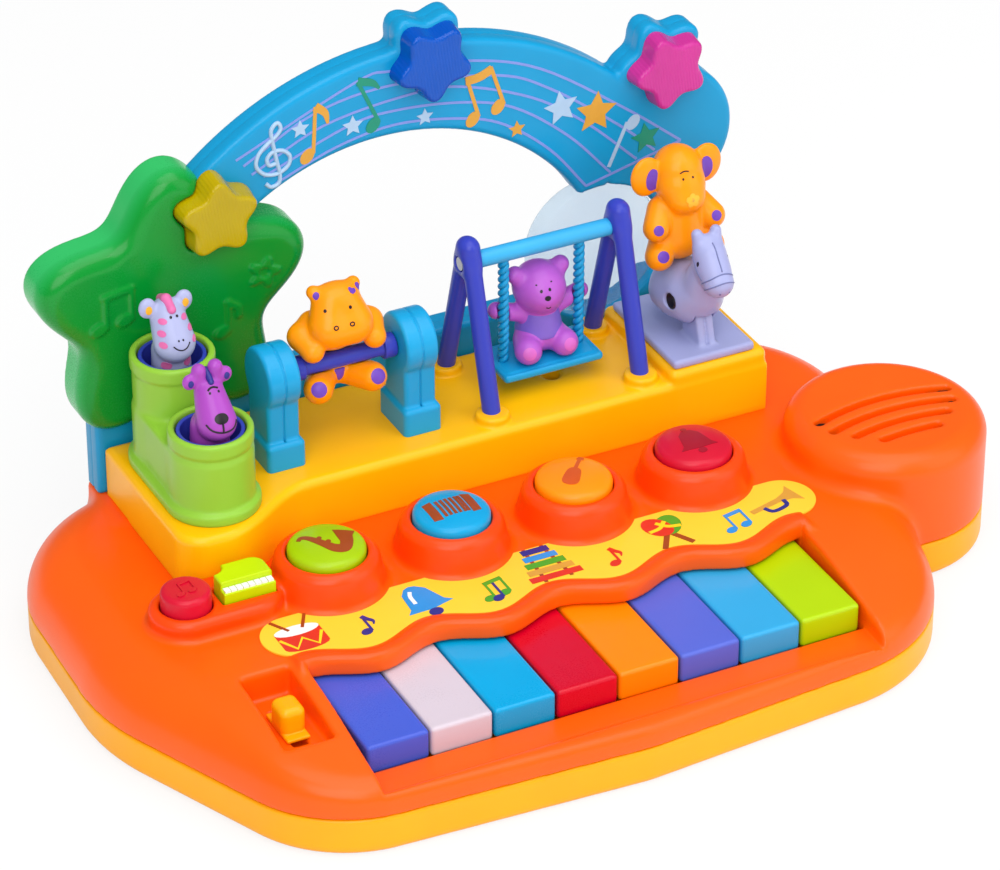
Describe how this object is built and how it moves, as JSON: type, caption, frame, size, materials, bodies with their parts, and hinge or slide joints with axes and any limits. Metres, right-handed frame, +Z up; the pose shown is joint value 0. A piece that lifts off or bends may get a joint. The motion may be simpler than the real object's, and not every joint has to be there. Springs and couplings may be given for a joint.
{
  "type": "toy piano",
  "caption": "Baby's toy piano with hinged colour keys, push buttons, a speaker pod and a play deck where animals pop up, spin, swing and rock under a blue arch.",
  "frame": {"origin": "on the table under the middle of the keyboard, on the flat bottom of the tray", "axes": "+X along the keys to the player's right, +Y from the player to the arch, +Z up"},
  "size_m": [0.3655, 0.2222, 0.2085],
  "materials": {
    "tray_yellow": "gloss",
    "shell_orange": "gloss",
    "label_yellow": "satin",
    "deck_amber": "gloss",
    "arch_blue": "gloss",
    "disc_pale": "satin",
    "star_green": "gloss",
    "lens_yellow": "gloss",
    "lens_blue": "gloss",
    "lens_pink": "gloss",
    "lamp": "gloss",
    "tube_lime": "gloss",
    "violet": "gloss",
    "zebra_white": "satin",
    "giraffe_magenta": "satin",
    "steel": "brushed",
    "post_teal": "gloss",
    "animal_orange": "satin",
    "bear_magenta": "satin",
    "swing_cyan": "gloss",
    "lavender": "satin",
    "lime": "gloss",
    "cyan": "gloss",
    "amber": "gloss",
    "red": "gloss",
    "pink_white": "gloss",
    "rubber_black": "matte",
    "board_green": "satin",
    "speaker_black": "matte",
    "box_black": "matte",
    "cell": "gloss"
  },
  "bodies": {
    "case": {"base_tray": "tray_yellow", "top_shell": "shell_orange", "label_strip": "label_yellow", "play_deck": "deck_amber", "arch_front": "arch_blue", "arch_back": "arch_blue", "arch_disc": "disc_pale", "star_front": "star_green", "star_rear": "star_green", "lens_yellow": "lens_yellow", "lens_blue": "lens_blue", "lens_pink": "lens_pink", "lens_lamps": "lamp", "log_tubes": "tube_lime", "zebra_spring": "steel", "giraffe_spring": "steel", "post_left": "post_teal", "post_right": "post_teal", "swing_frame_left": "violet", "swing_frame_right": "violet", "rocker_stand": "lavender", "key_axle": "steel", "key_pads": "rubber_black", "circuit_board": "board_green", "button_board": "board_green", "speaker": "speaker_black", "battery_box": "box_black", "battery_cells": "cell", "battery_door": "tray_yellow", "case_screws": "steel"},
    "key_body_1": {"key_1": "violet"},
    "key_body_2": {"key_2": "pink_white"},
    "key_body_3": {"key_3": "cyan"},
    "key_body_4": {"key_4": "red"},
    "key_body_5": {"key_5": "amber"},
    "key_body_6": {"key_6": "violet"},
    "key_body_7": {"key_7": "cyan"},
    "key_body_8": {"key_8": "lime"},
    "sax_push": {"sax_button": "lime"},
    "accordion_push": {"accordion_button": "cyan"},
    "guitar_push": {"guitar_button": "amber"},
    "drum_push": {"drum_button": "red"},
    "note_push": {"note_button": "red"},
    "piano_push": {"piano_button": "lime"},
    "switch_slider": {"switch_knob": "amber"},
    "zebra_popup": {"zebra_cup": "violet", "zebra": "zebra_white"},
    "giraffe_popup": {"giraffe_cup": "violet", "giraffe": "giraffe_magenta"},
    "spinner": {"spinner_bar": "violet", "hippo": "animal_orange"},
    "swing": {"swing_pins": "steel", "swing_bar": "swing_cyan", "swing_ropes": "swing_cyan", "swing_seat": "swing_cyan", "bear": "bear_magenta"},
    "rocker": {"rocker_rod": "steel", "donkey": "lavender", "elephant": "animal_orange"}
  },
  "joints": [
    {"name": "key_1_press", "type": "hinge", "parent": "case", "child": "key_body_1", "pos_m": [-0.0875, -0.031, 0.025], "axis": [1, 0, 0], "range_deg": [0, 3.9], "stiffness_Nm_per_rad": 0.6, "springref_deg": -3.44},
    {"name": "key_2_press", "type": "hinge", "parent": "case", "child": "key_body_2", "pos_m": [-0.0625, -0.031, 0.025], "axis": [1, 0, 0], "range_deg": [0, 3.9], "stiffness_Nm_per_rad": 0.6, "springref_deg": -3.44},
    {"name": "key_3_press", "type": "hinge", "parent": "case", "child": "key_body_3", "pos_m": [-0.0375, -0.031, 0.025], "axis": [1, 0, 0], "range_deg": [0, 3.9], "stiffness_Nm_per_rad": 0.6, "springref_deg": -3.44},
    {"name": "key_4_press", "type": "hinge", "parent": "case", "child": "key_body_4", "pos_m": [-0.0125, -0.031, 0.025], "axis": [1, 0, 0], "range_deg": [0, 3.9], "stiffness_Nm_per_rad": 0.6, "springref_deg": -3.44},
    {"name": "key_5_press", "type": "hinge", "parent": "case", "child": "key_body_5", "pos_m": [0.0125, -0.031, 0.025], "axis": [1, 0, 0], "range_deg": [0, 3.9], "stiffness_Nm_per_rad": 0.6, "springref_deg": -3.44},
    {"name": "key_6_press", "type": "hinge", "parent": "case", "child": "key_body_6", "pos_m": [0.0375, -0.031, 0.025], "axis": [1, 0, 0], "range_deg": [0, 3.9], "stiffness_Nm_per_rad": 0.6, "springref_deg": -3.44},
    {"name": "key_7_press", "type": "hinge", "parent": "case", "child": "key_body_7", "pos_m": [0.0625, -0.031, 0.025], "axis": [1, 0, 0], "range_deg": [0, 3.9], "stiffness_Nm_per_rad": 0.6, "springref_deg": -3.44},
    {"name": "key_8_press", "type": "hinge", "parent": "case", "child": "key_body_8", "pos_m": [0.0875, -0.031, 0.025], "axis": [1, 0, 0], "range_deg": [0, 3.9], "stiffness_Nm_per_rad": 0.6, "springref_deg": -3.44},
    {"name": "sax_button_press", "type": "slide", "parent": "case", "child": "sax_push", "axis": [0, 0, -1], "range_m": [0, 0.0025], "stiffness_N_per_m": 400, "springref_m": -0.002},
    {"name": "accordion_button_press", "type": "slide", "parent": "case", "child": "accordion_push", "axis": [0, 0, -1], "range_m": [0, 0.0025], "stiffness_N_per_m": 400, "springref_m": -0.002},
    {"name": "guitar_button_press", "type": "slide", "parent": "case", "child": "guitar_push", "axis": [0, 0, -1], "range_m": [0, 0.0025], "stiffness_N_per_m": 400, "springref_m": -0.002},
    {"name": "drum_button_press", "type": "slide", "parent": "case", "child": "drum_push", "axis": [0, 0, -1], "range_m": [0, 0.0025], "stiffness_N_per_m": 400, "springref_m": -0.002},
    {"name": "note_button_press", "type": "slide", "parent": "case", "child": "note_push", "axis": [0, 0, -1], "range_m": [0, 0.0025], "stiffness_N_per_m": 400, "springref_m": -0.002},
    {"name": "piano_button_press", "type": "slide", "parent": "case", "child": "piano_push", "axis": [0, 0, -1], "range_m": [0, 0.0025], "stiffness_N_per_m": 400, "springref_m": -0.002},
    {"name": "switch_slide", "type": "slide", "parent": "case", "child": "switch_slider", "axis": [0, 1, 0], "range_m": [-0.008, 0.008]},
    {"name": "zebra_popup_press", "type": "slide", "parent": "case", "child": "zebra_popup", "axis": [0, 0, -1], "range_m": [0, 0.006], "stiffness_N_per_m": 150, "springref_m": -0.004, "deforming": ["zebra_spring"]},
    {"name": "giraffe_popup_press", "type": "slide", "parent": "case", "child": "giraffe_popup", "axis": [0, 0, -1], "range_m": [0, 0.006], "stiffness_N_per_m": 150, "springref_m": -0.004, "deforming": ["giraffe_spring"]},
    {"name": "spinner_turn", "type": "hinge", "parent": "case", "child": "spinner", "pos_m": [-0.0395, 0.057, 0.096], "axis": [1, 0, 0], "continuous": true},
    {"name": "swing_sway", "type": "hinge", "parent": "case", "child": "swing", "pos_m": [0.04765, 0.0633, 0.119], "axis": [1, 0, 0], "range_deg": [-20, 20]},
    {"name": "rocker_tilt", "type": "hinge", "parent": "case", "child": "rocker", "pos_m": [0.1075, 0.052, 0.0865], "axis": [1, 0, 0], "range_deg": [-8, 8]}
  ]
}
